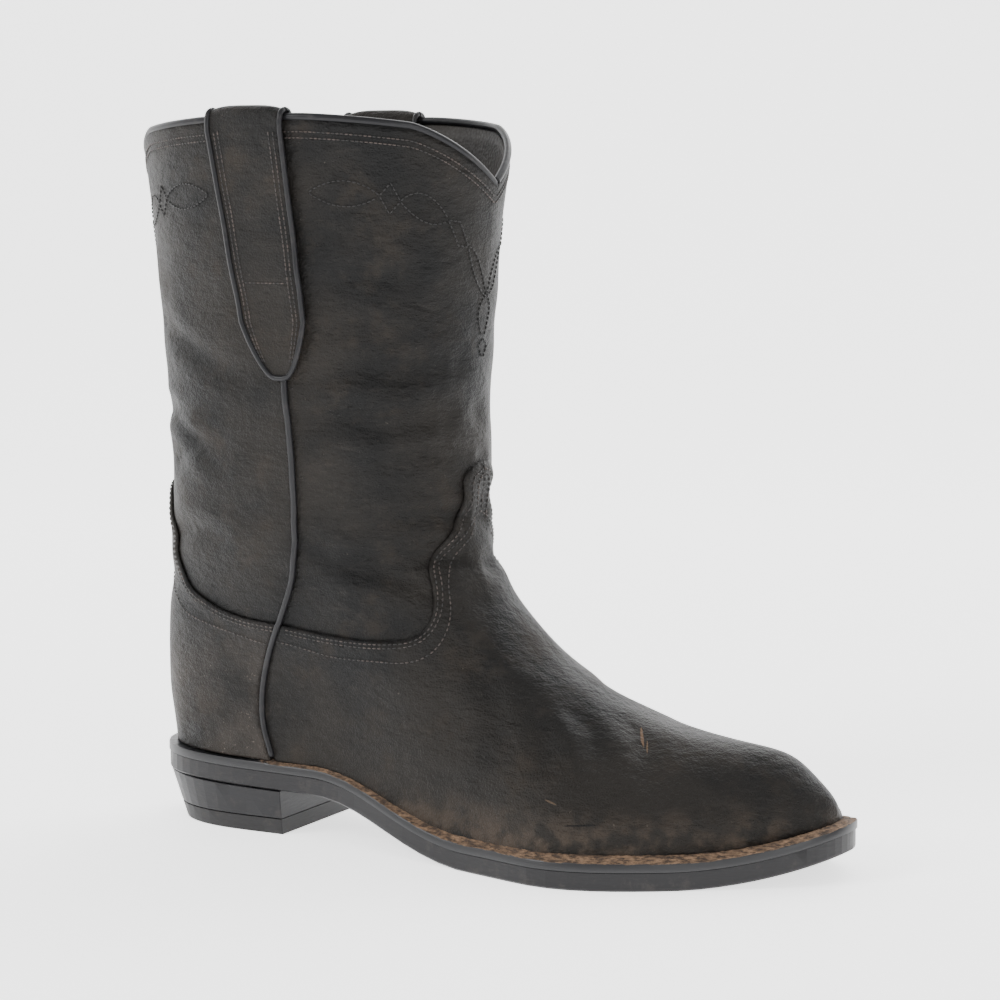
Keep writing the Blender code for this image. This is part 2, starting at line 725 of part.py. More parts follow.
def make_heel():
    """The heel block, and the rubber layer under it that meets the floor."""
    lift = [heel_ring(lambda along: 0.0), heel_ring(lambda along: TOP_LIFT_THICKNESS)]
    stack = [
        heel_ring(lambda along: TOP_LIFT_THICKNESS + GAP),
        heel_ring(lambda along: underside(along) - GAP),
    ]
    loft("heel_stack", stack, material("heel_stack_finish", SMOOTH_EDGE, 0.42))
    loft("heel_top_lift", lift, material("top_lift_rubber", RUBBER, 0.60))


clear_scene()
make_upper()
make_overlay("vamp", VAMP_LINE, 1, LEATHER)
make_overlay("counter", COUNTER_LINE, -1, COUNTER_LEATHER)
make_piping("side_piping_outer", -1)
make_piping("side_piping_inner", 1)
make_binding()
make_pull_strap("pull_strap_outer", -1)
make_pull_strap("pull_strap_inner", 1)
make_outsole()
make_welt()
make_insole()
make_heel()
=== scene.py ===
"""The looks of a right roper boot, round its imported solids.

Lengths are in metres. x is measured from the heel's back in the shape functions and from the middle
of the heel in the scene, where the toe points to +X and the outer side to -Y.
"""

import json
import math
from collections import namedtuple

import bmesh
import bpy
import numpy as np
from mathutils import Matrix, Vector, noise

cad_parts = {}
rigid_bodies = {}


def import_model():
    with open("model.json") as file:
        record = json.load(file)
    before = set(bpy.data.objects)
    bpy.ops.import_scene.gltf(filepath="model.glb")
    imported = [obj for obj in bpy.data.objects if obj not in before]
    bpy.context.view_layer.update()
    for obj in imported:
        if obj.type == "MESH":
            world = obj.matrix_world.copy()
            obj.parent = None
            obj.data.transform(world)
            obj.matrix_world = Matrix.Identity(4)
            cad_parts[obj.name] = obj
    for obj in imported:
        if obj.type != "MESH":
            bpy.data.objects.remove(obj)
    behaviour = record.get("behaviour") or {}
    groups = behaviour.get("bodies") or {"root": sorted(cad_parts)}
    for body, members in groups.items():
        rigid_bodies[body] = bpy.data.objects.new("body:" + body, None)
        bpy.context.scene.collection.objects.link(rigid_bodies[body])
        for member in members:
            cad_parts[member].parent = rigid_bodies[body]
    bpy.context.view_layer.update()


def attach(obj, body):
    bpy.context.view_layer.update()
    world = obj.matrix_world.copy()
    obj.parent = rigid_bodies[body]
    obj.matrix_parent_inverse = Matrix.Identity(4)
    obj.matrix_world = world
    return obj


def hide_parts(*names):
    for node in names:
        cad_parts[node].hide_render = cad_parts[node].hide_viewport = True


for startup_object in list(bpy.data.objects):
    bpy.data.objects.remove(startup_object, do_unlink=True)
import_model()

# The shaft: waxed leather, sewn at the sides and lasted over the foot. Its shape follows rings from
# the sole to the collar, the same as the solids', and wear has pressed soft creases into it.
SOLE_LENGTH = 0.298
BALL_WIDTH = 0.112
BOOT_HEIGHT = 0.287
INSTEP_HEIGHT = 0.117
COLLAR_DEPTH = 0.1553
COLLAR_WIDTH = 0.111
HEEL_LENGTH = 0.067
HEEL_BLOCK_HEIGHT = 0.0182
SEAT_RISE = 0.0022
TOE_SPRING = 0.0109
SEAT_END, SHANK_END, SPRING_START, SHAFT_MIDDLE = 0.275, 0.544, 0.825, 0.243
SOLE_STACK = 0.0112  # outsole, welt and the gaps over each
HEEL_LEDGE, BALL_LEDGE = 0.0034, 0.0064  # how far the upper stands in from the sole's edge
FULL_INSET_HALF = 0.24  # half width, as a share of the ball's, from which a ledge is whole
BULGE = 0.0022  # how far the foot swells over the ledge
FOOT_RISE_POWER, FOOT_SIDE_POWER = 1.45, 1.95  # roundness of the foot's sections
SHAFT_POWER = 2.13  # squareness of the shaft's rings
ORIGIN = np.array([HEEL_LENGTH / 2, 0, 0])

Outline = namedtuple("Outline", "along half shift")
SOLE_OUTLINE = [
    Outline(0.000, 0.000, 0.000),
    Outline(0.022, 0.160, 0.000),
    Outline(0.065, 0.243, 0.000),
    Outline(0.135, 0.284, 0.000),
    Outline(0.218, 0.283, -0.005),
    Outline(0.282, 0.272, -0.024),
    Outline(0.350, 0.281, -0.050),
    Outline(0.430, 0.325, -0.070),
    Outline(0.513, 0.386, -0.063),
    Outline(0.597, 0.454, -0.052),
    Outline(0.665, 0.497, -0.048),
    Outline(0.730, 0.497, -0.022),
    Outline(0.795, 0.454, 0.016),
    Outline(0.862, 0.374, 0.048),
    Outline(0.923, 0.286, 0.064),
    Outline(0.970, 0.188, 0.072),
    Outline(1.000, 0.000, 0.074),
]
Ring = namedtuple("Ring", "level front front_rise back back_rise width shaft_like")
SHAFT_RISE = BOOT_HEIGHT / INSTEP_HEIGHT - 1
SHAFT_HALF = COLLAR_DEPTH / SOLE_LENGTH / 2


def shaft_ring(level, depth, lean, front_rise, back_rise, width, shaft_like):
    """A ring of the shaft from its depth, as a share of the collar's."""
    middle, half = SHAFT_MIDDLE + lean, SHAFT_HALF * depth
    rises = 1 + front_rise * SHAFT_RISE, 1 + back_rise * SHAFT_RISE
    return Ring(level, middle + half, rises[0], middle - half, rises[1], width, shaft_like)


RINGS = [
    Ring(0.00, 0.9760, 0.005, 0.0120, 0.005, 0.342, 0.00),
    Ring(0.06, 0.9725, 0.105, 0.0075, 0.134, 0.347, 0.00),
    Ring(0.12, 0.9430, 0.222, 0.0020, 0.260, 0.351, 0.00),
    Ring(0.20, 0.9050, 0.327, -0.0005, 0.396, 0.356, 0.04),
    Ring(0.28, 0.8450, 0.379, -0.0015, 0.525, 0.360, 0.12),
    Ring(0.36, 0.7570, 0.436, -0.0002, 0.646, 0.369, 0.26),
    Ring(0.44, 0.6460, 0.562, 0.0055, 0.768, 0.378, 0.45),
    Ring(0.52, 0.5460, 0.765, 0.0130, 0.897, 0.387, 0.66),
    Ring(0.60, 0.4790, 1.000, 0.0130, 1.060, 0.401, 0.84),
    shaft_ring(0.68, 0.894, 0.0030, 0.176, 0.182, 0.416, 0.95),
    shaft_ring(0.76, 0.888, 0.0010, 0.371, 0.359, 0.437, 1.00),
    shaft_ring(0.84, 0.911, 0.0000, 0.576, 0.565, 0.455, 1.00),
    shaft_ring(0.92, 0.946, -0.0010, 0.788, 0.782, 0.477, 1.00),
    shaft_ring(1.00, 1.000, -0.0010, 1.000, 1.000, 0.500, 1.00),
]
Dip = namedtuple("Dip", "end depth reach power")
COLLAR_DIPS = [Dip(1, 0.0155, 0.22, 1.3), Dip(1, 0.0100, 0.42, 1.4)]
COLLAR_DIPS += [Dip(0, 0.0155, 0.22, 1.3), Dip(0, 0.0100, 0.50, 1.4)]


def spline(places, values):
    """Natural cubic spline through the values, as a function of place."""
    places, values = np.asarray(places, float), np.asarray(values, float)
    gaps = np.diff(places)
    slopes = np.diff(values) / gaps
    count = len(places)
    system, right = np.eye(count), np.zeros(count)
    for i in range(1, count - 1):
        system[i, i - 1 : i + 2] = gaps[i - 1], 2 * (gaps[i - 1] + gaps[i]), gaps[i]
        right[i] = 6 * (slopes[i] - slopes[i - 1])
    bends = np.linalg.solve(system, right)

    def value(place):
        place = np.clip(place, places[0], places[-1])
        i = np.clip(np.searchsorted(places, place, side="right") - 1, 0, count - 2)
        before = (places[i + 1] - place) / gaps[i]
        after = (place - places[i]) / gaps[i]
        curved = (before**3 - before) * bends[i] + (after**3 - after) * bends[i + 1]
        return before * values[i] + after * values[i + 1] + curved * gaps[i] ** 2 / 6

    return value


def ease(share):
    """0 below 0, 1 above 1, and smooth between."""
    share = np.clip(share, 0, 1)
    return share * share * (3 - 2 * share)


def turn_of(along):
    return np.arccos(np.clip(1 - 2 * along, -1, 1))


outline_turns = [turn_of(row.along) for row in SOLE_OUTLINE]
outline_half = spline(outline_turns, [row.half * BALL_WIDTH for row in SOLE_OUTLINE])
outline_shift = spline(outline_turns, [row.shift * BALL_WIDTH for row in SOLE_OUTLINE])
levels_of_rings = [row.level for row in RINGS]
front_at = spline(levels_of_rings, [row.front * SOLE_LENGTH for row in RINGS])
front_rise_at = spline(levels_of_rings, [row.front_rise * INSTEP_HEIGHT for row in RINGS])
back_at = spline(levels_of_rings, [row.back * SOLE_LENGTH for row in RINGS])
back_rise_at = spline(levels_of_rings, [row.back_rise * INSTEP_HEIGHT for row in RINGS])
width_at = spline(levels_of_rings, [row.width * COLLAR_WIDTH for row in RINGS])
shaft_like_at = spline(levels_of_rings, [row.shaft_like for row in RINGS])


def sole_half(along):
    return np.maximum(outline_half(turn_of(along)), 0)


def sole_shift(along):
    return outline_shift(turn_of(along))


def inset_share(half):
    """How much of an inset applies where the sole is this wide: less at the pointed ends."""
    return np.clip(half / (FULL_INSET_HALF * BALL_WIDTH), 0, 1)


def underside(along):
    """Height of the outsole's underside."""
    heel = HEEL_BLOCK_HEIGHT * ease((SHANK_END - along) / (SHANK_END - SEAT_END))
    heel = heel + SEAT_RISE * np.clip(1 - along / SEAT_END, 0, None) ** 1.5
    past = np.clip((along - SPRING_START) / (1 - SPRING_START), 0, None)
    return heel + TOE_SPRING * past**1.8


def sole_top(along):
    return underside(along) + SOLE_STACK


def sole_share(level):
    return np.clip(1 - level / 0.5, 0, 1) ** 1.5


def front_height(level):
    return front_rise_at(level) + sole_share(level) * sole_top(front_at(level) / SOLE_LENGTH)


ridge_levels = np.linspace(0.6, 0, 300)
ridge_x = np.maximum.accumulate(front_at(ridge_levels))
ridge_z = front_height(ridge_levels)


def ridge_height(x):
    """Height of the foot's front line over this place, and on past the ankle."""
    return np.interp(x, ridge_x, ridge_z) + 2.0 * np.clip(ridge_x[0] - x, 0, None)


def smooth_skin(turn, level, side):
    """A point of the upper's outer face with no creases.

    turn goes from 0 at the back to 1 at the front, level from 0 at the sole to 1 at the collar,
    and side is -1 on the outer side and 1 on the inner side.
    """
    turn, level = np.broadcast_arrays(np.asarray(turn, float), np.asarray(level, float))
    share = (1 - np.cos(np.pi * turn)) / 2
    front, back = front_at(level), back_at(level)
    x = back + share * (front - back)
    rise = back_rise_at(level) + share * (front_rise_at(level) - back_rise_at(level))
    z = rise + sole_share(level) * sole_top(x / SOLE_LENGTH)
    for dip in COLLAR_DIPS:
        near = np.clip(1 - np.abs(dip.end - turn) / dip.reach, 0, 1)
        z = z - dip.depth * near**dip.power * ease((level - 0.6) / 0.4)

    feather_front, feather_back = np.maximum(front_at(0), front), back_at(0)
    length = feather_front - feather_back
    overhang = (feather_back - back) / length * np.clip(1 - 2 * share, 0, 1) ** 2
    along = np.clip((x - feather_back) / length + overhang, 0, 1)
    edge = sole_half(along)
    ledge = HEEL_LEDGE + (BALL_LEDGE - HEEL_LEDGE) * ease((along - 0.2) / 0.4)
    base = sole_top(x / SOLE_LENGTH)
    climb = np.clip((z - base) / np.maximum(ridge_height(x) - base, 0.001), 0, 1)
    bulge = BULGE * np.sin(np.pi * np.clip(climb / 0.65, 0, 1)) ** 2
    foot = edge + (bulge - ledge) * inset_share(edge)
    foot = foot * (1 - climb**FOOT_RISE_POWER) ** (1 / FOOT_SIDE_POWER)
    shaft = np.clip(1 - np.abs(2 * share - 1) ** SHAFT_POWER, 0, 1) ** (1 / SHAFT_POWER)
    shaft = width_at(level) * shaft
    shaft_like = np.clip(shaft_like_at(level), 0, 1)
    half = foot * (1 - shaft_like) + shaft * shaft_like
    middle = sole_shift(along) * (1 - 0.25 * climb) * (1 - shaft_like)
    return np.stack([x, middle + side * half, z], -1)


def skin_normal(turn, level, side):
    step = 0.002
    turn = np.clip(np.asarray(turn, float), step, 1 - step)
    level = np.asarray(level, float)
    low, high = np.clip(level - step, 0, 1), np.clip(level + step, 0, 1)
    forward = smooth_skin(turn + step, level, side) - smooth_skin(turn - step, level, side)
    upward = smooth_skin(turn, high, side) - smooth_skin(turn, low, side)
    normal = np.cross(forward, upward) * -side
    return normal / np.linalg.norm(normal, axis=-1, keepdims=True)


def skin_place(x, z, side, out=0.0):
    """Turn and level of the point that has this x and z when it stands out by out."""
    x, z = np.broadcast_arrays(np.asarray(x, float), np.asarray(z, float))
    under = x
    for _ in range(4 if out else 1):
        low, high = np.zeros_like(x), np.ones_like(x)
        for _ in range(30):
            level = (low + high) / 2
            share = np.clip((under - back_at(level)) / (front_at(level) - back_at(level)), 0, 1)
            turn = np.arccos(1 - 2 * share) / np.pi
            above = smooth_skin(turn, level, side)[..., 2] > z
            high, low = np.where(above, level, high), np.where(above, low, level)
        under = x - out * skin_normal(turn, level, side)[..., 0]
    return turn, level


Crease = namedtuple("Crease", "side depth width places")
CREASE_STRENGTH = 1.7  # all the creases' depths are multiplied by this
WAVE_HEIGHT = 0.00055  # of the shaft's slackness between the creases
# Troughs that wear has pressed into the leather, as places (x, z) in millimetres seen from the
# side. Each trough lifts a soft ridge on both sides of it.
CREASES = [
    Crease(-1, 1.1, 6.0, [(147, 111), (138, 116), (124, 117), (108, 114)]),
    Crease(-1, 0.9, 5.0, [(146, 130), (136, 133), (122, 132)]),
    Crease(-1, 0.9, 4.5, [(143, 155), (134, 158), (118, 154)]),
    Crease(-1, 1.2, 6.5, [(142, 173), (121, 168), (104, 172), (88, 171)]),
    Crease(-1, 1.1, 6.0, [(140, 193), (122, 190), (104, 191), (92, 184)]),
    Crease(-1, 0.8, 6.0, [(94, 222), (112, 227), (129, 226)]),
    Crease(-1, 0.8, 6.0, [(20, 152), (34, 160), (50, 158)]),
    Crease(-1, 0.7, 5.0, [(6, 168), (18, 174), (30, 172)]),
    Crease(-1, 0.9, 6.0, [(15, 207), (36, 196), (61, 186)]),
    Crease(-1, 0.9, 6.0, [(10, 118), (26, 124), (44, 122)]),
    Crease(-1, 0.8, 5.0, [(10, 175), (28, 164), (48, 149)]),
    Crease(-1, 0.8, 5.5, [(108, 116), (122, 110), (135, 104)]),
    Crease(-1, 1.0, 6.0, [(84, 122), (104, 112), (124, 108)]),
    Crease(-1, 0.9, 7.0, [(190, 62), (204, 54), (212, 44)]),
    Crease(-1, 0.8, 6.0, [(176, 66), (188, 54), (192, 42)]),
    Crease(-1, 0.7, 7.0, [(206, 58), (222, 50), (228, 40)]),
    Crease(-1, 0.8, 7.0, [(150, 80), (164, 68), (170, 56)]),
    Crease(1, 1.0, 6.0, [(147, 111), (138, 115), (124, 116)]),
    Crease(1, 1.0, 6.0, [(148, 138), (132, 142), (112, 138)]),
    Crease(1, 1.1, 7.0, [(130, 172), (108, 178), (84, 174)]),
    Crease(1, 0.8, 6.0, [(16, 150), (34, 156), (54, 152)]),
    Crease(1, 0.9, 7.0, [(192, 62), (206, 52), (212, 42)]),
    Crease(1, 0.8, 6.0, [(176, 66), (188, 54), (190, 42)]),
]


def crease_lines():
    """Each crease as points on the smooth skin, with its depth and width in metres."""
    lines = []
    for crease in CREASES:
        places = np.array(crease.places) / 1000
        spans = np.linspace(0, len(places) - 1, 14)
        x, z = (np.interp(spans, range(len(places)), places[:, i]) for i in (0, 1))
        turn, level = skin_place(x, z, crease.side)
        points = smooth_skin(turn, level, crease.side)
        strength = np.sin(np.linspace(0.15, 0.85, 14) * math.pi)
        lines.append((points, strength, crease.depth / 1000, crease.width / 1000))
    return lines


crease_points = crease_lines()


def crease_rise(points):
    """How far wear lifts or sinks the skin at these points."""
    rise = np.zeros(points.shape[:-1])
    for line, strength, depth, width in crease_points:
        gaps = np.linalg.norm(points[..., None, :] - line, axis=-1)
        near = np.argmin(gaps, axis=-1)
        away = np.min(gaps, axis=-1) / width
        trough = -np.exp(-(away**2) * 1.6) + 0.45 * np.exp(-((away - 1.4) ** 2) * 1.2)
        rise += CREASE_STRENGTH * depth * strength[near] * trough
    x, y, z = np.moveaxis(points, -1, 0)
    wave = np.sin(x * 95 + 2.2 * np.sin(z * 60))
    wave = wave * np.sin(z * 118 + 1.7 * np.sin(x * 44) + y * 30)
    soft = ease((z - 0.05) / 0.06) * ease((0.272 - z) / 0.05)
    return rise + WAVE_HEIGHT * wave * soft


def skin(turn, level, side, out=0.0):
    """A point of the creased skin, moved outwards by out."""
    flat = smooth_skin(turn, level, side)
    lift = np.asarray(crease_rise(flat) + out)[..., None]
    return flat + lift * skin_normal(turn, level, side)


def grid_piece(name, rows, node, wrap=False, thickness=0.0, offset=-1.0):
    """A fine sheet through rows of points, with a wall if it has a thickness."""
    rows = np.asarray(rows) - ORIGIN
    mesh_maker = bmesh.new()
    corners = [[mesh_maker.verts.new(point) for point in row] for row in rows]
    for first, second in zip(corners, corners[1:]):
        count = len(first)
        for i in range(count if wrap else count - 1):
            j = (i + 1) % count
            mesh_maker.faces.new((first[i], first[j], second[j], second[i]))
    bmesh.ops.remove_doubles(mesh_maker, verts=mesh_maker.verts, dist=1e-6)
    mesh = bpy.data.meshes.new(name)
    mesh_maker.to_mesh(mesh)
    mesh_maker.free()
    made = bpy.data.objects.new(name, mesh)
    bpy.context.scene.collection.objects.link(made)
    if thickness:
        wall = made.modifiers.new("wall", "SOLIDIFY")
        wall.thickness = thickness
        wall.offset = offset
    mesh.shade_smooth()
    mesh.set_sharp_from_angle(angle=math.radians(50))
    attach(made, "root")
    if node:
        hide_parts(node)
    return made


def ring_rows(levels, columns, out):
    """Rings right round the skin: the outer side from back to front, then the inner side back."""
    turns = np.linspace(0, 1, columns + 1)
    outer = skin(turns[None, :], levels[:, None], -1, out)
    inner = skin(turns[None, -2:0:-1], levels[:, None], 1, out)
    outer[:, [0, -1], 1] = smooth_skin(turns[None, [0, -1]], levels[:, None], -1)[..., 1]
    return np.concatenate([outer, inner], axis=1)


LEATHER_WALL = 0.0013
shaft_levels = np.concatenate([np.linspace(0, 0.3, 20), np.linspace(0.3, 1, 126)[1:]])
shaft = grid_piece(
    "shaft_leather",
    ring_rows(shaft_levels, 90, 0.0),
    "upper",
    wrap=True,
    thickness=LEATHER_WALL,
)


# Leather finishes: waxed hide with a fine pebbled grain, rubbed brown where it has worn and
# paler with dust round the heel.
class Wire:
    """A number's socket. Arithmetic on it adds the nodes that do the sum."""

    def __init__(self, tree, socket):
        self.tree = tree
        self.socket = socket

    def math(self, operation, first, second):
        made = self.tree.nodes.new("ShaderNodeMath")
        made.operation = operation
        for target, value in zip(made.inputs, (first, second)):
            if isinstance(value, Wire):
                self.tree.links.new(value.socket, target)
            else:
                target.default_value = value
        return Wire(self.tree, made.outputs[0])

    def __add__(self, other):
        return self.math("ADD", self, other)

    __radd__ = __add__

    def __sub__(self, other):
        return self.math("SUBTRACT", self, other)

    def __rsub__(self, other):
        return self.math("SUBTRACT", other, self)

    def __mul__(self, other):
        return self.math("MULTIPLY", self, other)

    __rmul__ = __mul__


class Paint:
    """One material's nodes."""

    def __init__(self, name):
        self.material = bpy.data.materials.new(name)
        self.material.use_nodes = True
        self.tree = self.material.node_tree
        self.shader = self.tree.nodes["Principled BSDF"]
        self.place = self.node("ShaderNodeTexCoord", {}, {}, "Object")

    def node(self, kind, settings, inputs, output=0):
        """Adds a node with its settings and its socket values or links, and gives one output."""
        made = self.tree.nodes.new(kind)
        for key, value in settings.items():
            setattr(made, key, value)
        self.fill(made, inputs)
        return Wire(self.tree, made.outputs[output])

    def fill(self, made, inputs):
        for key, value in inputs.items():
            if isinstance(value, Wire):
                self.tree.links.new(value.socket, made.inputs[key])
            else:
                made.inputs[key].default_value = value

    def noise(self, scale, detail=3.0, roughness=0.55, stretch=None):
        place = self.place
        if stretch:
            inputs = {"Vector": place, "Scale": stretch}
            place = self.node("ShaderNodeMapping", {"vector_type": "POINT"}, inputs)
        inputs = {"Vector": place, "Scale": scale, "Detail": detail, "Roughness": roughness}
        return self.node("ShaderNodeTexNoise", {}, inputs)

    def cells(self, scale, feature="F1"):
        inputs = {"Vector": self.place, "Scale": scale}
        return self.node("ShaderNodeTexVoronoi", {"feature": feature}, inputs)

    def step(self, value, low, high):
        """0 where the value is under low, 1 over high, smooth between."""
        inputs = {"Value": value, "From Min": low, "From Max": high}
        return self.node("ShaderNodeMapRange", {"interpolation_type": "SMOOTHSTEP"}, inputs)

    def mix(self, share, first, second):
        """A colour between two others."""
        colours = {6: first, 7: second, 0: share}
        for key in (6, 7):
            if isinstance(colours[key], tuple):
                colours[key] = (*colours[key], 1)
        return self.node("ShaderNodeMix", {"data_type": "RGBA"}, colours, 2)

    def height(self, axis):
        """One coordinate in metres."""
        return self.node("ShaderNodeSeparateXYZ", {}, {"Vector": self.place}, axis)

    def share(self, name):
        """A mesh attribute."""
        return self.node("ShaderNodeAttribute", {"attribute_name": name}, {}, "Fac")

    def bump(self, height, distance, strength=1.0, under=None):
        inputs = {"Height": height, "Distance": distance, "Strength": strength}
        if under:
            inputs["Normal"] = under
        return self.node("ShaderNodeBump", {}, inputs)


NEAR_BLACK = (0.0038, 0.0038, 0.0038)
SOFT_BLACK = (0.0125, 0.0107, 0.0090)
WARM_BROWN = (0.0330, 0.0260, 0.0200)
STREAK = (0.026, 0.0225, 0.0195)
RUBBED_BROWN = (0.046, 0.034, 0.025)
POWDER = (0.036, 0.030, 0.0255)
FLECK = (0.11, 0.095, 0.080)
DUST = (0.150, 0.125, 0.105)


Scuff = namedtuple("Scuff", "x z length width tilt colour")
# Single marks seen in the photo, in millimetres and degrees from level.
VAMP_SCUFFS = [
    Scuff(221.0, 52.0, 9.0, 0.9, -52, (0.120, 0.070, 0.040)),
    Scuff(224.5, 49.0, 5.5, 0.6, -60, (0.100, 0.062, 0.036)),
    Scuff(212.0, 23.5, 15.0, 0.9, 4, (0.002, 0.002, 0.002)),
    Scuff(199.0, 31.0, 6.0, 0.8, -18, (0.070, 0.048, 0.032)),
]


def scuff_share(paint, scuff):
    """1 on the mark, 0 away from it, ragged between."""
    angle = math.radians(scuff.tilt)
    x = paint.height("X") * 1000.0 - (scuff.x - ORIGIN[0] * 1000)
    z = paint.height("Z") * 1000.0 - scuff.z
    along = (x * math.cos(angle) + z * math.sin(angle)) * (2 / scuff.length)
    across = (z * math.cos(angle) - x * math.sin(angle)) * (2 / scuff.width)
    ragged = paint.noise(420.0, 4.0, 0.7) * 1.3
    return paint.step(1.55 - along * along - across * across - ragged, 0.0, 0.5)


def leather(name, dusty=0.0, foot=0.0, scuffs=()):
    """Waxed leather. dusty greys the heel, foot rubs the lower edge brown."""
    paint = Paint(name)
    broad = paint.noise(16.0, 4.0)
    colour = paint.mix(paint.step(broad, 0.36, 0.62), NEAR_BLACK, SOFT_BLACK)
    worn = paint.step(paint.noise(42.0, 6.0, 0.7), 0.50, 0.72)
    colour = paint.mix(worn * 0.42, colour, WARM_BROWN)
    streaks = paint.noise(60.0, 5.0, 0.65, stretch=(1.0, 1.0, 3.2))
    colour = paint.mix(paint.step(streaks, 0.56, 0.74) * 0.35, colour, STREAK)
    low = paint.height("Z")
    if foot:
        rub = paint.step(low * -1.0, -0.034, -0.012)
        rub = rub * paint.step(paint.noise(90.0, 5.0), 0.42, 0.62)
        colour = paint.mix(rub * foot, colour, RUBBED_BROWN)
    if dusty:
        powder = paint.step(low * -1.0, -0.105, -0.045)
        powder = powder * paint.step(paint.noise(30.0, 5.0), 0.30, 0.62)
        colour = paint.mix(powder * dusty, colour, POWDER)
        specks = paint.step(paint.noise(900.0, 2.0), 0.66, 0.74) * powder
        colour = paint.mix(specks * 0.8, colour, DUST)
    for scuff in scuffs:
        colour = paint.mix(scuff_share(paint, scuff) * 0.85, colour, scuff.colour)
    flecks = paint.step(paint.noise(520.0, 2.0), 0.74, 0.80)
    colour = paint.mix(flecks * 0.35, colour, FLECK)
    grain = paint.cells(1250.0)
    pores = paint.noise(2300.0, 2.0)
    rough = 0.45 + 0.14 * worn + 0.08 * (broad - 0.5) + 0.06 * grain
    fine = paint.bump(grain + pores * 0.4, 0.00026, 0.75)
    wrinkles = paint.noise(210.0, 6.0, 0.62, stretch=(1.0, 1.0, 1.9))
    soft = paint.bump(wrinkles, 0.0019, 0.62, fine)
    folds = paint.noise(38.0, 5.0, 0.58, stretch=(1.0, 1.0, 2.1))
    soft = paint.bump(folds, 0.0065, 0.42, soft)
    paint.fill(paint.shader, {"Base Color": colour, "Roughness": rough, "Normal": soft})
    paint.fill(paint.shader, {"Specular IOR Level": 0.16})
    return paint.material


shaft.data.materials.append(leather("shaft_finish"))

# The lining: thin pebbled leather on the inside of the shaft and foot, glued to the outer leather
# and turned in under the bead.
LINING_GAP, LINING_WALL = 0.0001, 0.0009
lining_levels = np.concatenate([np.linspace(0, 0.5, 30), np.linspace(0.5, 0.998, 46)[1:]])
lining = grid_piece(
    "lining",
    ring_rows(lining_levels, 70, -LEATHER_WALL - LINING_GAP),
    None,
    wrap=True,
    thickness=LINING_WALL,
)
paint = Paint("lining_finish")
pebbles = paint.cells(700.0)
worn = paint.step(paint.noise(25.0), 0.35, 0.65)
tone = paint.mix(worn, (0.012, 0.0105, 0.0095), (0.021, 0.018, 0.0155))
paint.fill(paint.shader, {"Base Color": tone, "Roughness": 0.62 + 0.1 * pebbles})
paint.fill(paint.shader, {"Normal": paint.bump(pebbles, 0.0004, 0.7)})
lining.data.materials.append(paint.material)

# The vamp and the counter: leather laid over the foot and the heel, with their upper edges cut to
# a line and sewn down.
Mark = namedtuple("Mark", "along rise")
SIDE_SEAM = [
    Mark(0.212, 0.12),
    Mark(0.211, 0.27),
    Mark(0.200, 0.36),
    Mark(0.196, 0.46),
    Mark(0.204, 0.58),
    Mark(0.225, 0.70),
    Mark(0.248, 0.81),
    Mark(0.265, 0.92),
    Mark(0.276, 1.12),
    Mark(0.278, 1.39),
    Mark(0.274, 1.62),
]
VAMP_LINE = [
    Mark(0.225, 0.752),
    Mark(0.311, 0.729),
    Mark(0.370, 0.722),
    Mark(0.417, 0.726),
    Mark(0.446, 0.746),
    Mark(0.460, 0.790),
    Mark(0.461, 0.850),
    Mark(0.454, 0.915),
    Mark(0.449, 0.976),
    Mark(0.458, 1.040),
    Mark(0.468, 1.111),
    Mark(0.475, 1.190),
    Mark(0.480, 1.283),
    Mark(0.484, 1.306),
    Mark(0.490, 1.330),
]
COUNTER_LINE = [
    Mark(0.245, 0.748),
    Mark(0.189, 0.757),
    Mark(0.143, 0.776),
    Mark(0.101, 0.812),
    Mark(0.074, 0.850),
    Mark(0.059, 0.910),
    Mark(0.048, 0.990),
    Mark(0.036, 1.080),
    Mark(0.028, 1.160),
    Mark(0.018, 1.200),
    Mark(-0.005, 1.225),
]


PANEL_OUT = 0.0016  # how far the panels' faces stand out from the shaft
PANEL_WALL = 0.0014
SKIVING = 0.0007  # how much thinner a panel is at its sewn edge
CHANNEL_HALF = 0.0014  # of the gap for the piping between the vamp and the counter


def side_profile(marks):
    """The marks of a line as x and z."""
    return np.array([(mark.along * SOLE_LENGTH, mark.rise * INSTEP_HEIGHT) for mark in marks])


seam_profile = side_profile(SIDE_SEAM)
seam_x = spline(seam_profile[:, 1], seam_profile[:, 0])


def smooth_line(places, per_span=8):
    """A smooth run through the places, by the distance along them."""
    places = np.asarray(places, float)
    steps = np.linalg.norm(np.diff(places, axis=0), axis=1)
    travelled = np.concatenate([[0], np.cumsum(steps)])
    across = [spline(travelled, places[:, column]) for column in range(places.shape[1])]
    stops = np.linspace(0, travelled[-1], per_span * (len(places) - 1) + 1)
    return np.stack([column(stops) for column in across], -1)


def seam_turn_by_level(side, forward):
    """The side seam's turn at each level, half the piping's channel in front of or behind it."""
    heights = np.linspace(0.0, 0.130, 60)
    x = seam_x(heights) + forward * CHANNEL_HALF
    turn, level = skin_place(x, heights, side)
    keep = level > 1e-4
    return lambda at: np.interp(at, level[keep], turn[keep])


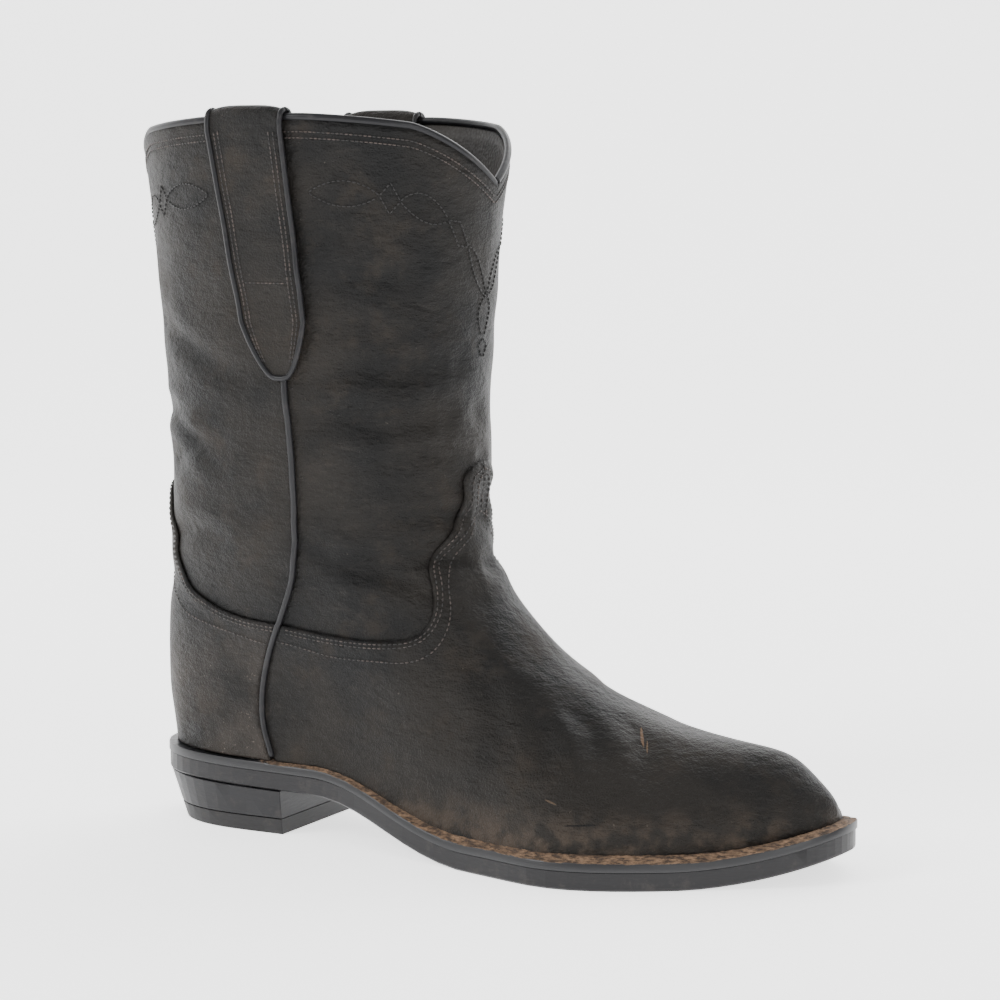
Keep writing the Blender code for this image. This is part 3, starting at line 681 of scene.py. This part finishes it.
def panel_rows(marks, side, forward, columns, rows, out):
    """Rows of a panel between the side seam and the middle line, from the sole to its top line.

    The columns are spread evenly along the top line, so the steep sides of a peak stay smooth.
    """
    line = smooth_line(side_profile(marks))
    travelled = np.concatenate([[0], np.cumsum(np.linalg.norm(np.diff(line, axis=0), axis=1))])
    line_turn, line_level = skin_place(line[:, 0], line[:, 1], side, out)
    seam_at = seam_turn_by_level(side, forward)
    end = 1.0 if forward > 0 else 0.0
    line_across = (line_turn - seam_at(line_level)) / (end - seam_at(line_level))
    line_across = np.maximum.accumulate(line_across)
    last = np.argmax(line_across > 0.9995) or len(line) - 1
    stops = np.linspace(np.interp(0, line_across, travelled), travelled[last], columns)
    top_across = np.interp(stops, travelled, line_across)
    top_across[0], top_across[-1] = 0, 1
    even = np.linspace(0, 1, columns) ** 0.9
    up = np.linspace(0, 1, rows)[:, None]
    level = up * np.interp(stops, travelled, line_level)
    seam = seam_at(level)
    turn = seam + (even + (top_across - even) * up**2) * (end - seam)
    skived = out - SKIVING * np.clip((up - 0.985) / 0.015, 0, 1) ** 2
    points = skin(turn, level, side, skived)
    points[:, -1, 1] = smooth_skin(turn[:, -1], level[:, -1], side)[..., 1]
    return points


def panel(node, marks, forward, columns, rows):
    """Both sides of a panel, joined at the middle line."""
    outer = panel_rows(marks, -1, forward, columns, rows, PANEL_OUT)
    inner = panel_rows(marks, 1, forward, columns, rows, PANEL_OUT)
    joined = np.concatenate([outer, inner[:, -2::-1]], axis=1)
    if forward < 0:
        joined = joined[:, ::-1]
    return grid_piece(node + "_panel", joined, node, thickness=PANEL_WALL)


vamp = panel("vamp", VAMP_LINE, 1, 110, 96)
counter = panel("counter", COUNTER_LINE, -1, 60, 80)
vamp.data.materials.append(leather("vamp_finish", foot=0.9, scuffs=VAMP_SCUFFS))
counter.data.materials.append(leather("counter_finish", dusty=0.85, foot=0.9))


# Side piping and the collar's bead: smooth leather folded round a cord, sewn into the side seams
# and over the collar's edge.
def cord_piece(name, centres, radius, node, closed=False, sides=10):
    """A round cord along the centres."""
    centres = np.asarray(centres)
    ahead = np.roll(centres, -1, 0) - np.roll(centres, 1, 0)
    if not closed:
        ahead[0], ahead[-1] = centres[1] - centres[0], centres[-1] - centres[-2]
    ahead /= np.linalg.norm(ahead, axis=1)[:, None]
    across = np.cross(ahead, [0.0, 1.0, 0.02])
    across /= np.linalg.norm(across, axis=1)[:, None]
    over = np.cross(ahead, across)
    angles = np.linspace(0, 2 * math.pi, sides, endpoint=False)
    rings = [
        [c + radius * (math.cos(a) * u + math.sin(a) * v) for a in angles]
        for c, u, v in zip(centres, across, over)
    ]
    if closed:
        rings.append(rings[0])
    made = grid_piece(name, rings, node, wrap=True)
    mesh_maker = bmesh.new()
    mesh_maker.from_mesh(made.data)
    open_edges = [edge for edge in mesh_maker.edges if edge.is_boundary]
    if open_edges:
        bmesh.ops.holes_fill(mesh_maker, edges=open_edges)
    bmesh.ops.recalc_face_normals(mesh_maker, faces=mesh_maker.faces)
    mesh_maker.to_mesh(made.data)
    mesh_maker.free()
    made.data.shade_smooth()
    return made


def smooth_finish(name, colour, roughness, wear):
    """Smooth dressed leather or rubber with fine rubs."""
    paint = Paint(name)
    rubs = paint.step(paint.noise(160.0, 6.0, 0.7), 0.52, 0.72)
    tone = paint.mix(rubs * 0.5, colour, wear)
    scratches = paint.noise(420.0, 4.0, 0.6, stretch=(0.35, 0.35, 2.2))
    paint.fill(paint.shader, {"Base Color": tone, "Roughness": roughness + 0.16 * rubs})
    paint.fill(paint.shader, {"Specular IOR Level": 0.24})
    paint.fill(paint.shader, {"Normal": paint.bump(scratches, 0.0003, 0.35)})
    return paint.material


EDGE_BLACK = (0.0085, 0.0085, 0.0098)
PIPING_RADIUS, BEAD_RADIUS, BEAD_INSET = 0.0013, 0.00155, 0.0011
piping_finish = smooth_finish("piping_finish", EDGE_BLACK, 0.36, (0.035, 0.032, 0.031))
for name, side in (("side_piping_outer", -1), ("side_piping_inner", 1)):
    heights = np.linspace(0.0320, 0.189, 90)
    turn, level = skin_place(seam_x(heights), heights, side)
    out = np.where(heights < 0.088, 0.0014, 0.0008)
    centres = skin(turn, level, side, out)
    cord = cord_piece(name + "_cord", centres, PIPING_RADIUS, name)
    cord.data.materials.append(piping_finish)

rim = ring_rows(np.array([1.0]), 120, -BEAD_INSET)[0]
rim[:, 2] += BEAD_INSET
bead = cord_piece("collar_bead", rim, BEAD_RADIUS, "top_binding", closed=True, sides=12)
bead.data.materials.append(piping_finish)

# Pull straps: a strip of leather folded over the collar at each side seam and sewn down outside
# and inside, with a smooth cord round its edge.
STRAP_WIDTH = 0.033
STRAP_TIP, STRAP_POINT = 0.1875, 0.022
STRAP_TOP_X, STRAP_TIP_X = 0.0685, 0.0808
STRAP_CORD = 0.0011
STRAP_OUT, STRAP_INSIDE_OUT, STRAP_WALL = 0.0026, -0.0046, 0.0020
FOLD_DEPTH, FOLD_RISE, CORNER_DROP = 0.0078, 0.0100, 0.0018
UP_ROWS, FOLD_ROWS = 60, 15


def strap_point(across, z, side, out):
    """A point of the strap outside, at a share from -1 to 1 across it."""
    share = (z - STRAP_TIP) / (BOOT_HEIGHT - STRAP_TIP)
    middle = STRAP_TIP_X + (STRAP_TOP_X - STRAP_TIP_X) * share
    rounding = np.sqrt(np.clip((z - STRAP_TIP) / STRAP_POINT, 0, 1))
    half = STRAP_WIDTH / 2 * (0.10 + 0.66 * rounding + 0.24 * share)
    turn, level = skin_place(middle + across * half, z, side)
    return skin(turn, level, side, out)


def strap_rows(side, columns):
    """Rows across the strap: up from its tip, over the collar and down inside."""
    across = np.linspace(-1, 1, columns)
    up = STRAP_TIP + (BOOT_HEIGHT - 0.004 - STRAP_TIP) * np.linspace(0, 1, UP_ROWS) ** 1.3
    rows = [strap_point(across, np.full(columns, z), side, STRAP_OUT) for z in up]
    near = rows[-1]
    inward = np.zeros((columns, 3))
    inward[:, 1] = -side * FOLD_DEPTH
    far = near + inward
    for angle in np.linspace(0, math.pi, FOLD_ROWS)[1:]:
        row = near + (far - near) * (1 - math.cos(angle)) / 2
        row[:, 1] += side * 0.0012 * math.cos(angle) * math.sin(angle)
        row[:, 2] += FOLD_RISE * math.sin(angle) ** 0.7 - CORNER_DROP * math.sin(angle) * across**4
        rows.append(row)
    inside_x = STRAP_TOP_X + across * STRAP_WIDTH / 2
    for z in np.linspace(0.279, 0.247, 12):
        turn, level = skin_place(inside_x, np.full(columns, z), side)
        rows.append(skin(turn, level, side, STRAP_INSIDE_OUT))
    return np.array(rows)


strap_finish = leather("strap_finish")
for name, side in (("pull_strap_outer", -1), ("pull_strap_inner", 1)):
    rows = strap_rows(side, 17)
    outward = 1 if side > 0 else -1
    strap = grid_piece(
        name + "_strip", rows, name, thickness=STRAP_WALL, offset=outward
    )
    strap.data.materials.append(strap_finish)
    over_fold = UP_ROWS + FOLD_ROWS
    edge = np.concatenate([rows[:over_fold, 0][::-1], rows[0, 1:-1], rows[:over_fold, -1]])
    cord = cord_piece(name + "_edge", edge, STRAP_CORD, None, sides=8)
    cord.data.materials.append(piping_finish)

# Stitches: waxed thread, each stitch a short capsule sunk in the leather. Rows of them hold the
# panels, the collar and the straps, and an ornament of dark thread runs round the shaft.
LEVEL_LENGTH = 0.425  # metres up the shaft for one whole level
TURN_LENGTH = 0.20  # metres round the collar for one whole turn
STITCH_PITCH = 0.0022
CLOSE_PITCH, ORNAMENT_PITCH = 0.0018, 0.0020
ON_SHAFT, ON_ORNAMENT = 0.00012, 0.00018  # how far the thread's middle stands out of the leather
ON_PANEL, ON_STRAP = PANEL_OUT + 0.00005, STRAP_OUT + 0.00005
STITCH_LENGTH = 0.0016
THREAD_RADIUS = 0.00031
capsule_maker = bmesh.new()
bmesh.ops.create_uvsphere(capsule_maker, u_segments=6, v_segments=4, radius=1.0)
capsule_points = np.array([vertex.co[:] for vertex in capsule_maker.verts])
capsule_faces = [[vertex.index for vertex in face.verts] for face in capsule_maker.faces]
capsule_maker.free()
# The operator numbers the corners anew in each run, so they are put in one order here.
rank = np.argsort(capsule_points @ (1.0, 10.0, 100.0))
capsule_points = capsule_points[rank]
places = np.argsort(rank)
capsule_faces = [places[face].tolist() for face in capsule_faces]
capsule_faces = sorted(
    face[face.index(min(face)) :] + face[: face.index(min(face))] for face in capsule_faces
)
capsule_points *= (THREAD_RADIUS, THREAD_RADIUS, STITCH_LENGTH / 2)
stitch_points, stitch_faces = [], []


def sewn_piece(name, thin, thick):
    """All the stitches sewn so far as one piece of thread, whose colour lies between the two."""
    mesh = bpy.data.meshes.new(name)
    mesh.from_pydata(np.concatenate(stitch_points).tolist(), [], stitch_faces)
    mesh.shade_smooth()
    made = bpy.data.objects.new(name, mesh)
    bpy.context.scene.collection.objects.link(made)
    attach(made, "root")
    paint = Paint(name + "_finish")
    tone = paint.mix(paint.step(paint.noise(300.0), 0.40, 0.62), thin, thick)
    paint.fill(paint.shader, {"Base Color": tone, "Roughness": 0.48})
    paint.fill(paint.shader, {"Normal": paint.bump(paint.noise(5200.0), 0.0001, 0.6)})
    mesh.materials.append(paint.material)
    stitch_points.clear()
    stitch_faces.clear()


def sew(points, normals, pitch=STITCH_PITCH):
    """Stitches along a run of points."""
    steps = np.linalg.norm(np.diff(points, axis=0), axis=1)
    travelled = np.concatenate([[0], np.cumsum(steps)])
    count = int(travelled[-1] / pitch)

    def between(values, stop):
        return np.array([np.interp(stop, travelled, values[:, i]) for i in range(3)])

    for stop in (np.arange(count) + 0.5) * pitch:
        start, end = between(points, stop - 0.0004), between(points, stop + 0.0004)
        here, up = between(points, stop), between(normals, stop)
        along = (end - start) / np.linalg.norm(end - start)
        side = np.cross(up, along)
        side /= np.linalg.norm(side)
        first = len(stitch_points) * len(capsule_points)
        turned = np.stack([side, np.cross(along, side), along])
        stitch_points.append(capsule_points @ turned + here - ORIGIN)
        stitch_faces.extend([first + i for i in face] for face in capsule_faces)


def sew_profile(line, side, out, pitch=STITCH_PITCH):
    """Stitches along a line of x and z seen from the side."""
    turn, level = skin_place(line[:, 0], line[:, 1], side, out)
    sew(skin(turn, level, side, out), skin_normal(turn, level, side), pitch)


def moved_aside(line, distance):
    """The line moved to the right of its own direction."""
    ahead = np.gradient(line, axis=0)
    ahead /= np.linalg.norm(ahead, axis=1)[:, None]
    return line + distance * np.stack([ahead[:, 1], -ahead[:, 0]], -1)


VAMP_THIRD_ROW = [
    Mark(0.220, 0.690),
    Mark(0.254, 0.680),
    Mark(0.325, 0.654),
    Mark(0.394, 0.653),
    Mark(0.445, 0.661),
    Mark(0.470, 0.696),
    Mark(0.482, 0.754),
    Mark(0.481, 0.829),
    Mark(0.469, 0.946),
    Mark(0.475, 1.046),
    Mark(0.481, 1.159),
    Mark(0.485, 1.275),
]
COUNTER_THIRD_ROW = [
    Mark(0.212, 0.674),
    Mark(0.139, 0.709),
    Mark(0.085, 0.736),
    Mark(0.063, 0.754),
    Mark(0.040, 0.800),
    Mark(0.020, 0.860),
    Mark(0.012, 0.960),
]
CROSS_ROW_Z = 0.2245  # height of the single row across each strap
for side in (-1, 1):
    top = smooth_line(side_profile(VAMP_LINE))
    top = top[top[:, 0] > seam_x(top[:, 1]) + 0.002]
    back = smooth_line(side_profile(COUNTER_LINE))
    back = back[back[:, 0] < seam_x(back[:, 1]) - 0.002]
    for inset in (0.0014, 0.0029):
        sew_profile(moved_aside(top, inset), side, ON_PANEL)
        sew_profile(moved_aside(back, -inset), side, ON_PANEL)
    sew_profile(smooth_line(side_profile(VAMP_THIRD_ROW)), side, ON_PANEL)
    sew_profile(smooth_line(side_profile(COUNTER_THIRD_ROW)), side, ON_PANEL)
    for drop in (0.0042, 0.0064):
        turns = np.linspace(0.0, 1.0, 300)
        levels = np.full(300, 1 - drop / LEVEL_LENGTH)
        sew(skin(turns, levels, side, ON_SHAFT), skin_normal(turns, levels, side), CLOSE_PITCH)
    heights = np.linspace(STRAP_TIP + 0.006, 0.284, 80)
    for share_across in (-0.82, -0.70, 0.70, 0.82):
        points = strap_point(share_across, heights, side, ON_STRAP)
        sew(points, np.tile([0.0, side, 0.0], (80, 1)), CLOSE_PITCH)
    cross = np.linspace(-0.66, 0.66, 30)
    points = strap_point(cross, np.full(30, CROSS_ROW_Z), side, ON_STRAP)
    sew(points, np.tile([0.0, side, 0.0], (30, 1)), CLOSE_PITCH)

sewn_piece("row_stitches", (0.007, 0.0065, 0.006), (0.046, 0.033, 0.028))

# The ornament: a chain of ovals and diamonds in one thread round the shaft, under the collar. It
# climbs from a point in front to the side seams, and the same at the back.
Link = namedtuple("Link", "start end height pointed")
# start and end are turn and level, height is half the link's thickness in metres.
FRONT_CHAIN = [
    Link((0.600, 0.9395), (0.727, 0.9410), 0.0046, False),
    Link((0.727, 0.9410), (0.768, 0.9380), 0.0056, True),
    Link((0.768, 0.9380), (0.872, 0.9380), 0.0050, False),
    Link((0.872, 0.9380), (0.930, 0.9260), 0.0046, True),
    Link((0.930, 0.9260), (1.000, 0.8960), 0.0048, False),
    Link((1.000, 0.8960), (1.000, 0.8500), 0.0042, False),
    Link((1.000, 0.8500), (1.000, 0.8270), 0.0036, True),
]


def sew_link(link, side, mirrored):
    """Both halves of one link of the chain."""
    share = np.linspace(0, 1, 40)
    if link.pointed:
        shape = 1 - np.abs(2 * share - 1)
    else:
        shape = np.sin(np.pi * share) ** 0.8
    starts = [1 - link.start[0] if mirrored else link.start[0], link.start[1]]
    ends = [1 - link.end[0] if mirrored else link.end[0], link.end[1]]
    turn = starts[0] + (ends[0] - starts[0]) * share
    level = starts[1] + (ends[1] - starts[1]) * share
    steep = abs(ends[0] - starts[0]) < 0.02
    for way in (-1, 1):
        bulge = way * link.height * shape
        if steep and way < 0:
            continue
        if steep:
            at_turn = turn + (1 if mirrored else -1) * bulge / TURN_LENGTH
            at_level = level
        else:
            at_turn, at_level = turn, level + bulge / LEVEL_LENGTH
        at_turn = np.clip(at_turn, 0.0, 1.0)
        points = skin(at_turn, at_level, side, ON_ORNAMENT)
        sew(points, skin_normal(at_turn, at_level, side), ORNAMENT_PITCH)


for side in (-1, 1):
    for link in FRONT_CHAIN:
        sew_link(link, side, False)
        sew_link(link, side, True)

sewn_piece("ornament_stitches", (0.0010, 0.0010, 0.0010), (0.0060, 0.0052, 0.0046))

# The welt: a strip of brown leather sewn round the foot on top of the outsole. Its raw top slopes
# up to the upper, and is frayed and rubbed pale.
def outline_point(turn, side, inset):
    """A point of the sole's outline, moved inwards across the edge by inset."""
    step = 0.01
    near, far = max(turn - step, 0), min(turn + step, math.pi)

    def at(angle):
        along = (1 - math.cos(angle)) / 2
        return np.array([along * SOLE_LENGTH, sole_shift(along) + side * sole_half(along)])

    run = at(far) - at(near)
    if turn < step:
        run = np.array([0.0, side])
    if turn > math.pi - step:
        run = np.array([0.0, -side])
    run /= np.linalg.norm(run)
    return at(turn) + inset * np.array([run[1], -run[0]]) * side


def heel_flare(along):
    return 0.0014 * float(ease(1 - along / 0.12))


WELT_PROFILE = [(0.0, 0.0), (0.0, 0.0028), (0.0004, 0.0034), (0.0016, 0.0036), (0.0026, 0.0044)]
WELT_PROFILE += [(0.0040, 0.0052), (0.0058, 0.0054), (0.0140, 0.0034), (0.0140, 0.0)]
welt_turns = np.linspace(0, math.pi, 260)
around = [(turn, -1) for turn in welt_turns] + [(turn, 1) for turn in welt_turns[-2:0:-1]]
welt_rows = []
for turn, side in around:
    share = (1 - math.cos(turn)) / 2
    ring = []
    lip = float(ease((share - 0.16) / 0.08))
    for inset, rise in WELT_PROFILE:
        wide = inset * (0.55 + 0.45 * lip) if inset < 0.01 else inset
        place = outline_point(turn, side, wide - heel_flare(share) * (1 if inset < 0.01 else 0))
        high = min(rise, 0.0034) + max(rise - 0.0034, 0) * lip
        if 0.001 < inset < 0.01:
            high += 0.00035 * noise.noise(Vector((place[0] * 700, place[1] * 700, rise * 900)))
        base = float(underside(place[0] / SOLE_LENGTH)) + 0.0075
        ring.append((place[0], place[1], base + high))
    welt_rows.append(ring)
welt_rows.append(welt_rows[0])
welt = grid_piece("welt_strip", welt_rows, "welt", wrap=True)
welt_fix = bmesh.new()
welt_fix.from_mesh(welt.data)
bmesh.ops.recalc_face_normals(welt_fix, faces=welt_fix.faces)
raw = welt_fix.verts.layers.float.new("raw")
for vertex in welt_fix.verts:
    share = (vertex.co.x + ORIGIN[0]) / SOLE_LENGTH
    high = vertex.co.z - float(underside(share)) - 0.0075
    vertex[raw] = float(ease((share - 0.16) / 0.08)) * float(ease((high - 0.0031) / 0.0004))
welt_fix.to_mesh(welt.data)
welt_fix.free()
welt.data.set_sharp_from_angle(angle=math.radians(50))
paint = Paint("welt_finish")
fibres = paint.noise(520.0, 7.0, 0.75, stretch=(0.5, 0.5, 2.5))
patches = paint.step(paint.noise(140.0, 5.0, 0.7), 0.38, 0.62)
tone = paint.mix(paint.step(fibres, 0.40, 0.62), (0.034, 0.021, 0.013), (0.270, 0.165, 0.095))
tone = paint.mix(patches * 0.45, tone, (0.050, 0.031, 0.020))
bare = paint.step(paint.share("raw") + (patches - 0.5) * 0.5, 0.35, 0.65)
tone = paint.mix(bare, EDGE_BLACK, tone)
paint.fill(paint.shader, {"Base Color": tone, "Roughness": 0.40 + 0.42 * bare})
paint.fill(paint.shader, {"Normal": paint.bump(fibres * bare, 0.0012, 0.8)})
welt.data.materials.append(paint.material)

# The sole: black rubber with a dressed edge, a heel of stacked layers waxed black, and a rubber
# layer that meets the floor.
Finish = namedtuple("Finish", "node name colour roughness wear")
SOLE_FINISHES = [
    Finish("outsole", "outsole_finish", (0.0145, 0.0140, 0.0150), 0.40, (0.045, 0.040, 0.037)),
    Finish("heel_stack", "heel_finish", (0.0130, 0.0128, 0.0140), 0.38, (0.040, 0.035, 0.033)),
    Finish("heel_top_lift", "lift_finish", (0.0150, 0.0145, 0.0150), 0.50, (0.050, 0.045, 0.040)),
    Finish("insole", "insole_finish", (0.060, 0.040, 0.026), 0.70, (0.090, 0.062, 0.040)),
]
for node, *finish in SOLE_FINISHES:
    solid = bpy.data.objects[node]
    solid.data.materials.clear()
    solid.data.materials.append(smooth_finish(*finish))
    weld = solid.modifiers.new("weld", "WELD")
    weld.merge_threshold = 0.00001
    if node != "insole":
        rounding = solid.modifiers.new("rounding", "BEVEL")
        rounding.width = 0.0004
        rounding.segments = 2
        rounding.angle_limit = math.radians(35)

# The floor, the light and the camera: a pale studio floor that glows a little, a large soft lamp on
# the left, a weaker one on the right and one behind, and a bright surround.
CAMERA_TURN, CAMERA_PITCH, CAMERA_DISTANCE = math.radians(27.4), math.radians(6.9), 1.150
TARGET = Vector((0.1165, 0, 0.130))
CAMERA_LENS, CAMERA_SHIFT = 104.4, (0.0025, 0.0203)
FLOOR_HALF, WALL_HEIGHT, CORNER_RADIUS = 2.2, 3.0, 1.2
FLOOR_FRONT, FLOOR_WIDENING = -14.0, 6.0  # the floor goes far past the boot's sides and front

floor_maker = bmesh.new()
bmesh.ops.create_grid(floor_maker, x_segments=1, y_segments=1, size=FLOOR_HALF)
back_edges = [edge for edge in floor_maker.edges if all(v.co.y > 2 for v in edge.verts)]
wall = bmesh.ops.extrude_edge_only(floor_maker, edges=back_edges)
for vertex in wall["geom"]:
    if isinstance(vertex, bmesh.types.BMVert):
        vertex.co.z += WALL_HEIGHT
corner = [e for e in floor_maker.edges if all(v.co.y > 2 and v.co.z < 0.1 for v in e.verts)]
bmesh.ops.bevel(
    floor_maker,
    geom=corner,
    offset=CORNER_RADIUS,
    segments=16,
    profile=0.5,
    affect="EDGES",
    material=-1,
)
for vertex in floor_maker.verts:
    if vertex.co.y < -2:
        vertex.co.y = FLOOR_FRONT
    vertex.co.x *= FLOOR_WIDENING
    vertex.co = Matrix.Rotation(CAMERA_TURN, 3, "Z") @ vertex.co
floor_mesh = bpy.data.meshes.new("floor")
floor_maker.to_mesh(floor_mesh)
floor_maker.free()
floor_mesh.shade_smooth()
floor = bpy.data.objects.new("floor", floor_mesh)
bpy.context.scene.collection.objects.link(floor)
paint = Paint("floor_finish")
paint.fill(paint.shader, {"Base Color": (0.96, 0.96, 0.96, 1), "Roughness": 0.9})
paint.fill(paint.shader, {"Emission Color": (1, 1, 1, 1), "Emission Strength": 1.7})
floor_mesh.materials.append(paint.material)

world = bpy.data.worlds.new("studio")
bpy.context.scene.world = world
world.use_nodes = True
world.node_tree.nodes["Background"].inputs["Color"].default_value = (1.0, 1.0, 1.0, 1)
world.node_tree.nodes["Background"].inputs["Strength"].default_value = 0.70


def soft_lamp(name, place, size, power):
    """A square lamp that faces the boot's middle."""
    light = bpy.data.lights.new(name, "AREA")
    light.size = size
    light.energy = power
    lamp = bpy.data.objects.new(name, light)
    bpy.context.scene.collection.objects.link(lamp)
    lamp.location = place
    lamp.rotation_euler = (TARGET - Vector(place)).to_track_quat("-Z", "Y").to_euler()


soft_lamp("key", (-0.95, -1.40, 1.25), 0.8, 28)
soft_lamp("fill", (1.6, -0.9, 0.9), 1.0, 12)
soft_lamp("back", (0.3, 1.2, 1.6), 1.2, 16)

camera_data = bpy.data.cameras.new("camera")
camera = bpy.data.objects.new("camera", camera_data)
bpy.context.scene.collection.objects.link(camera)
aim = Vector(
    (
        math.sin(CAMERA_TURN) * math.cos(CAMERA_PITCH),
        -math.cos(CAMERA_TURN) * math.cos(CAMERA_PITCH),
        math.sin(CAMERA_PITCH),
    )
)
camera.location = TARGET + CAMERA_DISTANCE * aim
camera.rotation_euler = (-aim).to_track_quat("-Z", "Y").to_euler()
camera_data.lens = CAMERA_LENS
camera_data.shift_x, camera_data.shift_y = CAMERA_SHIFT
bpy.context.scene.camera = camera
